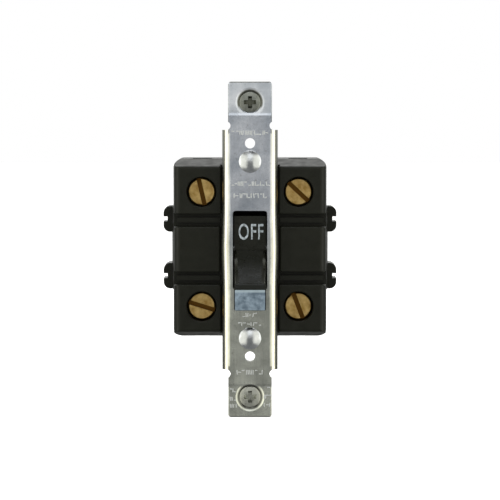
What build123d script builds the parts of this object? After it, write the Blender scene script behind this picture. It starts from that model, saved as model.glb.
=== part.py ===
from build123d import *
import math
import os

os.makedirs("parts", exist_ok=True)

# Two-pole toggle disconnect switch on a steel strap. Millimetres.
# X is right, Y runs into the wall box, Z is up. Y = 0 is the rear face of the strap.

# ---- Standard spacings ---------------------------------------------------------
plate_screw_pitch = 60.325
mount_screw_pitch = 83.344
rivet_pitch = 50.0

# ---- Strap -----------------------------------------------------------------------
strap_t = 1.25
strap_half = 47.45
channel_half = 33.9
channel_w = 15.7
channel_depth = 6.0
channel_bulge = 0.3
bend_r = 2.4
bend_inner_r = 1.0
tab_w = 12.3
tab_corner_r = 0.8
neck_notch_r = 1.2
neck_depth = 0.65
opening_w = 9.75
opening_half = 11.15
plate_hole_r = 1.45
collar_r = 2.2
collar_depth = 1.6
sink_r = 3.45
sink_slope = math.tan(math.radians(41.0))
coin_depth = 0.15
coin_z = 38.0
coin_run = 0.7
dish_r = 4.1
tab_edge_r = 0.25

# ---- Housing ---------------------------------------------------------------------
cover_front = 2.5
parting_y = 12.0
base_back = 30.0
floor_y = 26.63
body_half_w = 21.85
body_mid_half_w = 22.4
body_front_half_w = 21.4
body_half_h = 25.6
body_front_half_h = 23.45
body_corner_r = 2.6
body_edge_r = 1.8
rim_r = 0.45
mid_half_h = 11.75
column_gap = 0.15
column_half_h = 27.8
column_chamfer = 0.9
block_gap = 0.4
flange_gap = 0.25
groove_z = 8.25
groove_w = 3.5
groove_depth = 3.0
groove_rib_w = 1.4
groove_rib_h = 1.2
well_x = 13.75
well_z = 16.3
well_r = 4.25
well_floor_y = 9.0
cover_pocket_y = 8.0
barrier_z = 12.6
barrier_t = 1.2
ear_z = 8.2
ear_half_h = 3.7
ear_reach = 24.9
ear_notch_h = 1.45
ear_notch_depth = 1.15
ear_corner_r = 1.9
ear_back = 20.0
entry_w = 5.5
entry_front = 11.8
entry_corner_r = 1.2

# ---- Base cavities ---------------------------------------------------------------
chamber_w = 9.5
chamber_half_h = 13.6
centre_half_w = 7.5
centre_half_h = 14.0
pole_gap_in = 0.3
pole_gap_out = 0.4
bay_half_h = 23.4
slot_half_h = 3.1
slot_back = 25.0
spring_post_r = 2.0
spring_post_y = 25.0

# ---- Toggle ----------------------------------------------------------------------
pivot_y = 9.5
tilt = 30.0
toggle_w = 9.0
root_u = 7.7
root_half = 4.5
root_w = 9.0
root_bevel = 0.6
neck_w = 8.1
neck_half = 3.3
neck_bevel = 1.05
tip_u = 26.2
head_w = 8.9
head_half = 3.7
head_bevel = 0.3
head_t = 1.5
head_flare = 0.9
tip_edge_r = 0.4
wing_u = 3.17
wing_v = 12.9
wing_t = 1.8
hub_r = 3.4
cam_e = 3.7
cam_r = 5.5
cam_w = 6.4
pin_r = 1.5
pin_half = 6.35

# ---- Contact mechanism -----------------------------------------------------------
cam_gap = 0.1
block_t = 3.25
block_half_w = 6.9
block_half_h = 6.5
arm_half_h = 2.9
arm_t = 4.0
frame_half_w = 4.25
frame_wall = 1.25
frame_back = 21.2
window_front = 15.0
window_back = 19.85
bridge_t = 1.0
bridge_w = 5.5
bridge_half = 11.0
contact_z = 9.4
contact_r = 1.8
tip_t = 0.8
closed_gap = 0.03
fixed_contact_t = 0.9
return_mean_r = 2.9
return_wire_r = 0.35
return_turns = 6
contact_mean_r = 1.7
contact_wire_r = 0.25
contact_turns = 3

# ---- Terminals and screws --------------------------------------------------------
plate_front = 17.3
plate_t = 1.4
plate_w = 8.0
foot_w = 6.0
leg_z = 11.5
foot_z = 6.9
plate_end_z = 21.8
clamp_rest = 15.2
clamp_t = 1.2
clamp_w = 7.6
clamp_low = 13.6
clamp_high = 20.4
head_r = 3.9
head_y = 4.5
head_t = 2.5
slot_w = 1.3
slot_depth = 1.3
shank_r = 2.6
thread_r = 2.0
screw_end = 21.5
stake_r = 2.3
stake_t = 0.3
tip_hole_r = 2.6
tip_hole_end = 22.6
mount_head_r = 2.95
mount_shank_r = 1.75
mount_neck_r = 1.5
mount_neck_end = 3.4
mount_shank_end = 21.0
mount_dome = 0.2
mount_head_gap = 0.1
cross_w = 1.15
cross_len = 3.6
cross_depth = 1.3
retainer_r = 3.4
retainer_front = 2.4
retainer_t = 0.8
rivet_r = 1.6
rivet_head_r = 3.15
rivet_edge = 0.2
rivet_dome = 0.75
rivet_back_r = 2.7
rivet_back_t = 0.8

# ---- Fits ------------------------------------------------------------------------
run_fit = 0.05
press_gap = 0.03
shank_gap = 0.3

# ---- Derived positions -----------------------------------------------------------
flange_tip = channel_depth - strap_t
channel_inner = channel_w / 2 - strap_t
column_w = 2 * (channel_inner - column_gap)
frame_in = well_x - frame_half_w
frame_out = well_x + frame_half_w
pole_in = frame_in - pole_gap_in
pole_out = frame_out + pole_gap_out
seat_y = coin_depth - strap_t
throw_dy = 2 * cam_e * math.sin(math.radians(tilt))
cam_back = pivot_y - throw_dy / 2 + cam_r
bar_front = cam_back + cam_gap
bridge_back = window_back - run_fit
bridge_front = bridge_back - bridge_t
fixed_front = bridge_back + tip_t + throw_dy + closed_gap
foot_front = fixed_front + fixed_contact_t
u_dir = (0, -math.cos(math.radians(tilt)), -math.sin(math.radians(tilt)))
corners = {"tl": (-1, 1), "tr": (1, 1), "bl": (-1, -1), "br": (1, -1)}
slot_angles = {"tl": -77, "tr": -43, "bl": -17, "br": -69}


def facing(y):
    """Plane seen from the front at depth y: local x is X, local y is Z, normal is -Y."""
    return Plane.XZ.offset(-y)


def slab(x0, x1, y0, y1, z0, z1, mode=Mode.ADD):
    """Box between two corners."""
    with Locations(((x0 + x1) / 2, (y0 + y1) / 2, (z0 + z1) / 2)):
        Box(abs(x1 - x0), abs(y1 - y0), abs(z1 - z0), mode=mode)


def rod(x, z, r, y0, y1, mode=Mode.ADD):
    """Cylinder along Y from depth y0 to depth y1."""
    with Locations(Location((x, (y0 + y1) / 2, z), (90, 0, 0))):
        Cylinder(r, y1 - y0, mode=mode)


def dome_drop(r, rise):
    """How far a spherical dome of edge radius r has fallen at half that radius."""
    ball_r = (r ** 2 + rise ** 2) / (2 * rise)
    return ball_r - math.sqrt(ball_r ** 2 - r ** 2 / 4)


def save(part, name):
    """Label a finished piece and write it to its own STEP file."""
    part.label = name
    export_step(part, "parts/" + name + ".step")


# ---- Mounting strap --------------------------------------------------------------
def strap_outline(half_w, z_half):
    """Long edges of the channel as a closed line, bowed a little beside the toggle."""
    bow = half_w + channel_bulge
    Spline((half_w, -12.0), (bow, 0), (half_w, 12.0), tangents=[(0, 1), (0, 1)])
    Polyline((half_w, 12.0), (half_w, z_half), (-half_w, z_half), (-half_w, 12.0))
    Spline((-half_w, 12.0), (-bow, 0), (-half_w, -12.0), tangents=[(0, -1), (0, -1)])
    Polyline((-half_w, -12.0), (-half_w, -z_half), (half_w, -z_half), (half_w, -12.0))


def make_strap():
    """One pressed steel channel with a flat tab at each end."""
    with BuildPart() as strap:
        with BuildSketch(facing(flange_tip)):
            with BuildLine():
                strap_outline(channel_w / 2, channel_half)
            make_face()
        extrude(amount=channel_depth)
        front_edges = strap.faces().sort_by(Axis.Y)[0].edges()
        fillet([e for e in front_edges if abs(e.center().X) > channel_inner], bend_r)
        with BuildSketch(facing(flange_tip)):
            with BuildLine():
                strap_outline(channel_inner, channel_half + 1)
            make_face()
        extrude(amount=flange_tip, mode=Mode.SUBTRACT)
        fillet([e for e in strap.edges().filter_by_position(Axis.Y, -0.01, 0.01)
                if abs(e.center().X) > channel_inner - 0.01], bend_inner_r)
        for side in (1, -1):
            tab_len = strap_half - channel_half + 1
            with BuildSketch(facing(0)) as tab:
                with Locations((0, side * (strap_half - tab_len / 2))):
                    Rectangle(tab_w, tab_len)
                outer = tab.vertices().sort_by(Axis.Y if side > 0 else -Axis.Y)[-2:]
                fillet(outer, tab_corner_r)
                notch_x = tab_w / 2 - neck_depth + neck_notch_r
                with Locations(*[(k * notch_x, side * (channel_half + neck_notch_r)) for k in (1, -1)]):
                    Circle(neck_notch_r, mode=Mode.SUBTRACT)
            extrude(amount=strap_t)
            rod(0, side * plate_screw_pitch / 2, collar_r, 0, collar_depth)
            rod(0, side * plate_screw_pitch / 2, plate_hole_r, -3, 3, Mode.SUBTRACT)
            rod(0, side * rivet_pitch / 2, rivet_r + run_fit, -3, 1, Mode.SUBTRACT)
            with BuildSketch(Plane.YZ) as coined:
                with BuildLine():
                    Polyline((-strap_t, side * coin_z), (seat_y, side * (coin_z + coin_run)),
                             (seat_y, side * (strap_half + 1)), (-strap_t - 1, side * (strap_half + 1)),
                             (-strap_t - 1, side * coin_z), close=True)
                make_face()
            extrude(amount=tab_w, both=True, mode=Mode.SUBTRACT)
            border = strap.edges().filter_by_position(Axis.Y, seat_y - 0.01, seat_y + 0.01)
            fillet([e for e in border if side * e.center().Z > coin_z + coin_run + 0.01], tab_edge_r)
            with Locations(Location((0, seat_y / 2, side * mount_screw_pitch / 2), (90, 0, 0))):
                Cone(sink_r + seat_y * sink_slope, sink_r, -seat_y, mode=Mode.SUBTRACT)
            dish_depth = coin_depth * 1.2
            with Locations(Location((0, seat_y + dish_depth / 2, side * mount_screw_pitch / 2), (90, 0, 0))):
                Cone(sink_r - dish_depth * sink_slope, dish_r, dish_depth, mode=Mode.SUBTRACT)
        slab(-opening_w / 2, opening_w / 2, -3, 1, -opening_half, opening_half, Mode.SUBTRACT)
        fillet([e for e in strap.edges().filter_by(Axis.Y)
                if abs(abs(e.center().X) - opening_w / 2) < 0.01
                and abs(abs(e.center().Z) - opening_half) < 0.01], 0.8)
    return strap.part


# ---- Front cover -----------------------------------------------------------------
def body_block(y0, y1):
    """Plan outline of the housing as a prism: rounded ends, slightly wider waist."""
    with BuildSketch(facing(y1)) as outline:
        RectangleRounded(2 * body_half_w, 2 * body_half_h, body_corner_r)
        Rectangle(2 * body_mid_half_w, 2 * mid_half_h)
    extrude(outline.sketch, amount=y1 - y0)


def trim_cover():
    """Draft on the sides, sloped end faces and rounded front edges."""
    with BuildSketch(Plane.XY) as across:
        with BuildLine():
            Polyline((-body_mid_half_w, parting_y), (-body_front_half_w, cover_front),
                     (body_front_half_w, cover_front), (body_mid_half_w, parting_y), close=True)
        make_face()
        fillet(across.vertices().sort_by(Axis.Y)[:2], body_edge_r)
    extrude(across.sketch, amount=body_half_h + 1, both=True, mode=Mode.INTERSECT)
    with BuildSketch(Plane.YZ) as along:
        with BuildLine():
            Polyline((parting_y, -body_half_h), (cover_front, -body_front_half_h),
                     (cover_front, body_front_half_h), (parting_y, body_half_h), close=True)
        make_face()
        fillet(along.vertices().sort_by(Axis.X)[:2], body_edge_r / 2)
    extrude(along.sketch, amount=body_mid_half_w + 1, both=True, mode=Mode.INTERSECT)


def make_cover():
    """Moulded front half: central column, six blocks, four wells, pin notches."""
    with BuildPart() as cover:
        body_block(cover_front, parting_y)
        trim_cover()
        slot_x = channel_w / 2 + block_gap
        bowed_x = slot_x + channel_bulge
        slot_floor = flange_tip + flange_gap
        slab(-slot_x, slot_x, 0, slot_floor, -body_half_h, body_half_h, Mode.SUBTRACT)
        slab(-bowed_x, bowed_x, 0, slot_floor, -groove_z, groove_z, Mode.SUBTRACT)
        for side in (1, -1):
            for end in (1, -1):
                mid = end * groove_z
                lo = side * slot_x
                hi = side * (body_mid_half_w + 1)
                groove_floor = cover_front + groove_depth
                slab(lo, hi, 0, groove_floor, mid - groove_w / 2, mid + groove_w / 2, Mode.SUBTRACT)
                slab(side * bowed_x, side * (body_front_half_w - 0.5), groove_floor - groove_rib_h,
                     groove_floor, mid - groove_rib_w / 2, mid + groove_rib_w / 2)
        column_edge = [(-1, -1), (-1, 1), (1, -1), (1, 1)]
        slab(-column_w / 2, column_w / 2, 0, parting_y, -column_half_h, column_half_h)
        chamfer([e for e in cover.edges().filter_by(Axis.Z)
                 if abs(e.center().Y) < 0.01], column_chamfer)
        for x_sign, z_sign in column_edge:
            x = x_sign * well_x
            z = z_sign * well_z
            rod(x, z, well_r, 0, well_floor_y, Mode.SUBTRACT)
            rod(x, z, shank_r + shank_gap, 0, parting_y + 1, Mode.SUBTRACT)
            slab(x - entry_w / 2, x + entry_w / 2, entry_front, parting_y + 1,
                 z_sign * bay_half_h, z_sign * (body_half_h + 1), Mode.SUBTRACT)
        for side in (1, -1):
            slab(side * pole_in, side * pole_out, cover_pocket_y, parting_y + 1,
                 -slot_half_h - groove_w, slot_half_h + groove_w, Mode.SUBTRACT)
            for end in (1, -1):
                slab(side * (pole_in + 0.3), side * (pole_out - 0.3), parting_y - 1, plate_front - 0.3,
                     end * (barrier_z - barrier_t / 2), end * (barrier_z + barrier_t / 2))
        rim = cover.edges().filter_by_position(Axis.Y, cover_front - 0.01, cover_front + 0.01)
        straight = rim.filter_by(GeomType.LINE)
        fillet([e for e in straight.filter_by(Axis.X) if abs(e.center().Z) < well_z], rim_r)
        rim = cover.edges().filter_by_position(Axis.Y, cover_front - 0.01, cover_front + 0.01)
        fillet([e for e in rim.filter_by(Axis.Z) if abs(e.center().X) < bowed_x + 0.01], rim_r)
        rim = cover.edges().filter_by_position(Axis.Y, cover_front - 0.01, cover_front + 0.01)
        chamfer(rim.filter_by(GeomType.CIRCLE).filter_by(lambda e: e.radius > well_r - 0.1), rim_r / 2)
        slab(-chamber_w / 2, chamber_w / 2, -1, parting_y + 1, -chamber_half_h, chamber_half_h, Mode.SUBTRACT)
        with Locations(Location((0, pivot_y, 0), (0, 90, 0))):
            Cylinder(pin_r + press_gap, 2 * pin_half + 0.1, mode=Mode.SUBTRACT)
        slab(-pin_half - run_fit, pin_half + run_fit, pivot_y, parting_y + 1,
             -pin_r - press_gap, pin_r + press_gap, Mode.SUBTRACT)
        for end in (1, -1):
            rod(0, end * rivet_pitch / 2, rivet_r + run_fit, -1, parting_y + 1, Mode.SUBTRACT)
    return cover.part


# ---- Rear base -------------------------------------------------------------------
def add_ears():
    """Pair of rounded lobes with a slit between them at each end of the waist."""
    for side in (1, -1):
        for end in (1, -1):
            with BuildSketch(facing(ear_back)) as ear:
                with Locations((side * (ear_reach + body_half_w - 1) / 2, end * ear_z)):
                    Rectangle(ear_reach - body_half_w + 1, 2 * ear_half_h)
                tips = ear.vertices().sort_by(Axis.X)[-2:] if side > 0 else ear.vertices().sort_by(Axis.X)[:2]
                fillet(tips, ear_corner_r)
                with Locations((side * (ear_reach - ear_notch_depth / 2), end * ear_z)):
                    Rectangle(ear_notch_depth, ear_notch_h, mode=Mode.SUBTRACT)
            extrude(ear.sketch, amount=ear_back - parting_y)


def make_base():
    """Moulded rear half: centre chamber, two contact pockets and four wire bays."""
    with BuildPart() as base:
        body_block(parting_y, base_back)
        slab(-column_w / 2, column_w / 2, parting_y, base_back, -column_half_h, column_half_h)
        add_ears()
        slab(-centre_half_w, centre_half_w, parting_y - 1, floor_y, -centre_half_h, centre_half_h,
             Mode.SUBTRACT)
        pocket_half_h = leg_z + plate_t + 0.2
        for side in (1, -1):
            slab(side * pole_in, side * pole_out, parting_y - 1, floor_y,
                 -pocket_half_h, pocket_half_h, Mode.SUBTRACT)
            slab(side * (centre_half_w - 1), side * (pole_in + 1), parting_y - 1, slot_back,
                 -slot_half_h, slot_half_h, Mode.SUBTRACT)
            for end in (1, -1):
                slab(side * pole_in, side * pole_out, parting_y - 1, plate_front + plate_t,
                     end * (pocket_half_h - 1), end * bay_half_h, Mode.SUBTRACT)
                rod(side * well_x, end * well_z, tip_hole_r, plate_front, tip_hole_end, Mode.SUBTRACT)
                with BuildSketch(Plane.XY.offset(end * (bay_half_h - 1))) as entry:
                    with Locations((side * well_x, (entry_front + plate_front) / 2)):
                        RectangleRounded(entry_w, plate_front - entry_front, entry_corner_r)
                extrude(entry.sketch, amount=end * 5, mode=Mode.SUBTRACT)
        rod(0, 0, spring_post_r, spring_post_y, floor_y + 1)
        for end in (1, -1):
            rod(0, end * rivet_pitch / 2, rivet_r + run_fit, parting_y - 1, base_back + 1, Mode.SUBTRACT)
            rod(0, end * rivet_pitch / 2, rivet_back_r + shank_gap, base_back - rivet_back_t - 0.1,
                base_back + 1, Mode.SUBTRACT)
    return base.part


# ---- Housing rivets --------------------------------------------------------------
def make_rivets():
    """Two rivets: domed head on the strap, flat roll sunk in the base."""
    edge = -strap_t - rivet_edge
    apex = edge - rivet_dome
    mid_dome = (rivet_head_r / 2, apex + dome_drop(rivet_head_r, rivet_dome))
    back = base_back - 0.1
    with BuildPart() as rivets:
        for end in (1, -1):
            z = end * rivet_pitch / 2
            with BuildSketch(Plane(origin=(0, 0, z), x_dir=(1, 0, 0), z_dir=(0, 0, 1))) as profile:
                with BuildLine():
                    Polyline((0, apex), (0, back), (rivet_back_r, back), (rivet_back_r, back - rivet_back_t),
                             (rivet_r, back - rivet_back_t), (rivet_r, -strap_t), (rivet_head_r, -strap_t),
                             (rivet_head_r, edge))
                    ThreePointArc((rivet_head_r, edge), mid_dome, (0, apex))
                make_face()
            revolve(profile.sketch, axis=Axis((0, 0, z), (0, 1, 0)))
    return rivets.part


# ---- Toggle handle ---------------------------------------------------------------
def make_toggle():
    """Lever, two shield wings, hub and round cam, drawn about the pivot and tilted down."""
    side_plane = Plane(origin=(0, pivot_y, 0), x_dir=u_dir, z_dir=(-1, 0, 0))
    with BuildPart() as toggle:
        for u, w, half, bevel in ((root_u - 1.5, root_w, root_half, root_bevel),
                                  (tip_u - head_t - head_flare, neck_w, neck_half, neck_bevel),
                                  (tip_u - head_t, head_w, head_half, head_bevel),
                                  (tip_u, head_w, head_half, head_bevel)):
            origin = (0, pivot_y + u * u_dir[1], u * u_dir[2])
            with BuildSketch(Plane(origin=origin, x_dir=(1, 0, 0), z_dir=u_dir)):
                with BuildLine():
                    a = w / 2
                    Polyline((a - bevel, half), (a, half - bevel), (a, bevel - half), (a - bevel, -half),
                             (bevel - a, -half), (-a, bevel - half), (-a, half - bevel),
                             (bevel - a, half), close=True)
                make_face()
        loft(ruled=True)
        fillet(toggle.faces().sort_by(Axis(origin=(0, 0, 0), direction=u_dir))[-1].edges(), tip_edge_r)
        for half_v in (1, -1):
            run = math.hypot(root_u - wing_u, wing_v - root_half)
            back_u = wing_t * (wing_v - root_half) / run
            back_v = wing_t * (root_u - wing_u) / run
            with BuildSketch(side_plane) as wing:
                with BuildLine():
                    Polyline((root_u, 0), (root_u, half_v * root_half), (wing_u, half_v * wing_v),
                             (wing_u - back_u, half_v * (wing_v - back_v)),
                             (root_u - back_u, half_v * (root_half - back_v)), (0, 0), close=True)
                make_face()
            extrude(wing.sketch, amount=toggle_w / 2, both=True)
        with BuildSketch(side_plane) as hub:
            Circle(hub_r)
            with Locations((root_u / 2, 0)):
                Rectangle(root_u, 2 * hub_r)
        extrude(hub.sketch, amount=toggle_w / 2, both=True)
        with BuildSketch(side_plane) as cam:
            with Locations((0, cam_e)):
                Circle(cam_r)
        extrude(cam.sketch, amount=cam_w / 2, both=True)
        with BuildSketch(side_plane) as bore:
            Circle(pin_r + run_fit)
        extrude(bore.sketch, amount=toggle_w, both=True, mode=Mode.SUBTRACT)
    return toggle.part


def make_pin():
    """Steel pin the toggle turns on, lying in the two cover notches."""
    with BuildPart() as pin:
        with Locations(Location((0, pivot_y, 0), (0, 90, 0))):
            Cylinder(pin_r, 2 * pin_half)
        chamfer(pin.edges().filter_by(GeomType.CIRCLE), 0.2)
    return pin.part


# ---- Crossbar --------------------------------------------------------------------
def make_crossbar():
    """Insulating bar pushed back by the cam, with a window for each moving bridge."""
    with BuildPart() as bar:
        slab(-block_half_w, block_half_w, bar_front, bar_front + block_t, -block_half_h, block_half_h)
        slab(-frame_in - 1, frame_in + 1, bar_front, bar_front + arm_t, -arm_half_h, arm_half_h)
        rod(0, 0, spring_post_r, bar_front + 1, bar_front + arm_t + 1.75)
        for side in (1, -1):
            slab(side * frame_in, side * frame_out, bar_front, frame_back, -arm_half_h, arm_half_h)
            slab(side * (frame_in + frame_wall), side * (frame_out - frame_wall), window_front, window_back,
                 -arm_half_h - 1, arm_half_h + 1, Mode.SUBTRACT)
            rod(side * well_x, 0, contact_mean_r - contact_wire_r - 0.2, window_front - 0.5,
                window_front + 1)
    return bar.part


# ---- Moving bridges and tips -----------------------------------------------------
def make_bridge(side):
    """Flat copper bar spanning the two fixed contacts of one pole."""
    x = side * well_x
    with BuildPart() as bridge:
        slab(x - bridge_w / 2, x + bridge_w / 2, bridge_front, bridge_back, -bridge_half, bridge_half)
        fillet(bridge.edges().filter_by(Axis.Y), 0.8)
    return bridge.part


def make_tips(side):
    """Two silver contact buttons on the back of one bridge."""
    with BuildPart() as tips:
        for end in (1, -1):
            rod(side * well_x, end * contact_z, contact_r, bridge_back, bridge_back + tip_t)
        chamfer(tips.edges().filter_by(GeomType.CIRCLE).group_by(Axis.Y)[-1], 0.2)
    return tips.part


def make_fixed_contact(x_sign, z_sign):
    """Silver contact button on the front of a terminal strip's foot."""
    with BuildPart() as button:
        rod(x_sign * well_x, z_sign * contact_z, contact_r, fixed_front, foot_front)
        chamfer(button.edges().filter_by(GeomType.CIRCLE).group_by(Axis.Y)[0], 0.2)
    return button.part


# ---- Springs ---------------------------------------------------------------------
def make_coil(mean_r, wire_r, turns, x, y0, y1):
    """Compression spring wound about Y between two seats."""
    low = y0 + wire_r + run_fit
    rise = y1 - wire_r - run_fit - low
    with BuildPart() as spring:
        with BuildLine() as path:
            Helix(rise / turns, rise, mean_r, center=(x, low, 0), direction=(0, 1, 0))
        start = path.line @ 0
        with BuildSketch(Plane(origin=start, z_dir=path.line % 0)):
            Circle(wire_r)
        sweep(path=path.line, is_frenet=True)
    return spring.part


# ---- Terminals -------------------------------------------------------------------
def make_terminal_plate(x_sign, z_sign):
    """Brass strip: threaded plate in the wire bay, leg to the back, foot under the contact."""
    x = x_sign * well_x
    with BuildPart() as plate:
        slab(x - plate_w / 2, x + plate_w / 2, plate_front, plate_front + plate_t,
             z_sign * leg_z, z_sign * plate_end_z)
        slab(x - foot_w / 2, x + foot_w / 2, plate_front, foot_front + plate_t,
             z_sign * leg_z, z_sign * (leg_z + plate_t))
        slab(x - foot_w / 2, x + foot_w / 2, foot_front, foot_front + plate_t,
             z_sign * foot_z, z_sign * (leg_z + plate_t))
        rod(x, z_sign * well_z, thread_r + run_fit, plate_front - 1, plate_front + plate_t + 1,
            Mode.SUBTRACT)
    return plate.part


def make_clamp_plate(x_sign, z_sign):
    """Steel washer plate that presses the wire on the terminal strip."""
    x = x_sign * well_x
    with BuildPart() as clamp:
        slab(x - clamp_w / 2, x + clamp_w / 2, clamp_rest, clamp_rest + clamp_t,
             z_sign * clamp_low, z_sign * clamp_high)
        fillet(clamp.edges().filter_by(Axis.Y), 0.8)
        rod(x, z_sign * well_z, thread_r + run_fit, clamp_rest - 1, clamp_rest + clamp_t + 1, Mode.SUBTRACT)
    return clamp.part


def make_terminal_screw(x_sign, z_sign, angle):
    """Round-head slotted brass screw with a shoulder above and a staked ring below the clamp."""
    x = x_sign * well_x
    z = z_sign * well_z
    with BuildPart() as screw:
        rod(x, z, head_r, head_y, head_y + head_t)
        chamfer(screw.edges().filter_by(GeomType.CIRCLE).sort_by(Axis.Y)[0], 0.35)
        rod(x, z, shank_r, head_y + head_t, clamp_rest - run_fit)
        rod(x, z, thread_r, head_y + head_t, screw_end)
        ring_front = clamp_rest + clamp_t + run_fit
        rod(x, z, stake_r, ring_front, ring_front + stake_t)
        chamfer(screw.edges().filter_by(GeomType.CIRCLE).sort_by(Axis.Y)[-1], 0.4)
        with Locations(Location((x, head_y + slot_depth / 2, z), (0, -angle, 0))):
            Box(2 * head_r + 1, slot_depth, slot_w, mode=Mode.SUBTRACT)
    return screw.part


# ---- Mounting screws and retainers -----------------------------------------------
def make_mounting_screw(z_sign):
    """Oval-head cross-recess machine screw seated in the strap's countersink."""
    z = z_sign * mount_screw_pitch / 2
    head_edge = seat_y + (sink_r - mount_head_gap - mount_head_r) / sink_slope
    cone_back = head_edge + (mount_head_r - mount_neck_r) / sink_slope
    crown = head_edge - mount_dome
    mid_dome = (mount_head_r / 2, crown + dome_drop(mount_head_r, mount_dome))
    with BuildPart() as screw:
        with BuildSketch(Plane(origin=(0, 0, z), x_dir=(1, 0, 0), z_dir=(0, 0, 1))) as profile:
            with BuildLine():
                Polyline((0, crown), (0, mount_shank_end), (mount_shank_r - 0.4, mount_shank_end),
                         (mount_shank_r, mount_shank_end - 0.5), (mount_shank_r, mount_neck_end),
                         (mount_neck_r, mount_neck_end), (mount_neck_r, cone_back),
                         (mount_head_r, head_edge))
                ThreePointArc((mount_head_r, head_edge), mid_dome, (0, crown))
            make_face()
        revolve(profile.sketch, axis=Axis((0, 0, z), (0, 1, 0)))
        cut_y = crown + cross_depth / 2 - 0.5
        for angle in (0, 90):
            with Locations(Location((0, cut_y, z), (0, angle, 0))):
                Box(cross_len, cross_depth + 1, cross_w, mode=Mode.SUBTRACT)
    return screw.part


def make_retainer(z_sign):
    """Fibre washer that keeps a mounting screw from falling out of the strap."""
    z = z_sign * mount_screw_pitch / 2
    with BuildPart() as washer:
        rod(0, z, retainer_r, retainer_front, retainer_front + retainer_t)
        rod(0, z, mount_neck_r + press_gap, retainer_front - 1, retainer_front + retainer_t + 1,
            Mode.SUBTRACT)
    return washer.part


# ---- Write every piece -----------------------------------------------------------
save(make_strap(), "strap")
save(make_cover(), "front_cover")
save(make_base(), "rear_base")
save(make_rivets(), "housing_rivets")
save(make_toggle(), "toggle_handle")
save(make_pin(), "pivot_pin")
save(make_crossbar(), "crossbar")
save(make_coil(return_mean_r, return_wire_r, return_turns, 0, bar_front + arm_t, floor_y),
     "return_spring")
for side, name in ((-1, "left"), (1, "right")):
    save(make_bridge(side), "bridge_" + name)
    save(make_tips(side), "bridge_tips_" + name)
    save(make_coil(contact_mean_r, contact_wire_r, contact_turns, side * well_x, window_front,
                   bridge_front), "contact_spring_" + name)
for name, (x_sign, z_sign) in corners.items():
    save(make_terminal_plate(x_sign, z_sign), "terminal_plate_" + name)
    save(make_fixed_contact(x_sign, z_sign), "fixed_contact_" + name)
    save(make_clamp_plate(x_sign, z_sign), "clamp_plate_" + name)
    save(make_terminal_screw(x_sign, z_sign, slot_angles[name]), "terminal_screw_" + name)
for z_sign, name in ((1, "top"), (-1, "bottom")):
    save(make_mounting_screw(z_sign), "mounting_screw_" + name)
    save(make_retainer(z_sign), "screw_retainer_" + name)
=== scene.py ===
import math
import random
import bmesh
import bpy
from mathutils import Matrix, Vector


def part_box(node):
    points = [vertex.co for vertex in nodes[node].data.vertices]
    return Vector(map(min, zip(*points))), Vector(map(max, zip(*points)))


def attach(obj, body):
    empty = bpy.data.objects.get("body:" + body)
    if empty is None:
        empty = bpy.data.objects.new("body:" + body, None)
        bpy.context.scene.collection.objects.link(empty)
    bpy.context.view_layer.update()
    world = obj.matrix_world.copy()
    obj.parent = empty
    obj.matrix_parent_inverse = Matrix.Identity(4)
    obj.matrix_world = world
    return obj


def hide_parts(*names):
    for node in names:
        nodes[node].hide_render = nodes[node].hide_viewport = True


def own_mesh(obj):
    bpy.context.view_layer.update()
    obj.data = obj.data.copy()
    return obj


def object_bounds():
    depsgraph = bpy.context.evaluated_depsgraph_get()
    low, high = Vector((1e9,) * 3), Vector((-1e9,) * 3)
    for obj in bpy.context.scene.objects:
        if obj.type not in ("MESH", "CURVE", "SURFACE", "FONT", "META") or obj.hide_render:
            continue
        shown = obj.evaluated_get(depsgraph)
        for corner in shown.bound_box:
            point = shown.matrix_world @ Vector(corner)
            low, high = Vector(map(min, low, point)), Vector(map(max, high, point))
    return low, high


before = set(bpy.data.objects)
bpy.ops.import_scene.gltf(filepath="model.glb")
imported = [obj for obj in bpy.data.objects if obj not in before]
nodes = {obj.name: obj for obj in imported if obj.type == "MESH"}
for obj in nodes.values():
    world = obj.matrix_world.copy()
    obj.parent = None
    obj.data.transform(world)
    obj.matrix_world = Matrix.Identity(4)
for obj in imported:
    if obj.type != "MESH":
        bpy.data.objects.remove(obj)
cad_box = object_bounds()
MM = 0.001


# ---- Studio ----------------------------------------------------------------------
# A pale sweep under the switch, white all round, with soft light panels at both sides
# and above. The front is kept dim, so that the flat steel reads grey.
def linear(code):
    """An sRGB hex colour as linear red, green, blue and alpha."""
    parts = [int(code[i:i + 2], 16) / 255 for i in (1, 3, 5)]
    return tuple(c / 12.92 if c <= 0.04045 else ((c + 0.055) / 1.055) ** 2.4 for c in parts) + (1.0,)


def add(tree, kind, settings=None, links=None):
    """Add one node, give it its settings, and join its inputs to other nodes' outputs."""
    made = tree.nodes.new(kind)
    for key, value in (settings or {}).items():
        if isinstance(key, int) or key in made.inputs:
            made.inputs[key].default_value = value
        else:
            setattr(made, key, value)
    for key, (source, output) in (links or {}).items():
        tree.links.new(source.outputs[output], made.inputs[key])
    return made


def material(name):
    """A new empty node material, and its tree."""
    made = bpy.data.materials.new(name)
    made.use_nodes = True
    made.node_tree.nodes.clear()
    return made, made.node_tree


def link_new(mesh_or_curve, name):
    """Put a new object holding this data in the scene."""
    made = bpy.data.objects.new(name, mesh_or_curve)
    bpy.context.scene.collection.objects.link(made)
    return made


scene = bpy.context.scene
scene.view_settings.view_transform = "Standard"
scene.view_settings.look = "None"

view_distance = 600 * MM
view_lift = math.radians(3.7)
camera_data = bpy.data.cameras.new("camera")
camera_data.lens = 152.8
camera_data.sensor_width = 36.0
camera_data.clip_start = 10 * MM
camera = link_new(camera_data, "camera")
camera.location = (0, -view_distance * math.cos(view_lift), view_distance * math.sin(view_lift))
camera.rotation_euler = (math.pi / 2 - view_lift, 0, 0)
scene.camera = camera

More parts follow.
